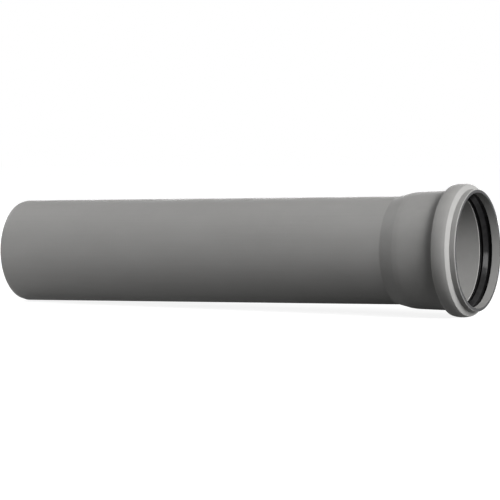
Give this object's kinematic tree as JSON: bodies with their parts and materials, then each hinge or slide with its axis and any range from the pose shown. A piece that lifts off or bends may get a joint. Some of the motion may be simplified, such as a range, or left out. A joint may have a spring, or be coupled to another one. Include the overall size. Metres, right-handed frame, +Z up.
{
  "type": "socketed plastic drainage pipe",
  "caption": "Grey plastic drainage pipe with a plain spigot end and a belled socket that holds a rubber seal ring.",
  "frame": {"origin": "on the floor, below the middle of the overall box", "axes": "+X along the pipe from the spigot end to the socket, +Z up; the pipe's axis leans up towards the socket by 1.36 degrees, because it rests on the bead and the spigot end"},
  "size_m": [0.5386, 0.1344, 0.1343],
  "materials": {
    "grey_plastic": "smooth extruded plastic with a soft sheen",
    "black_rubber": "black, lightly greased, with a soft gloss"
  },
  "bodies": {
    "root": {"pipe": "grey_plastic", "seal_ring": "black_rubber"}
  },
  "joints": []
}
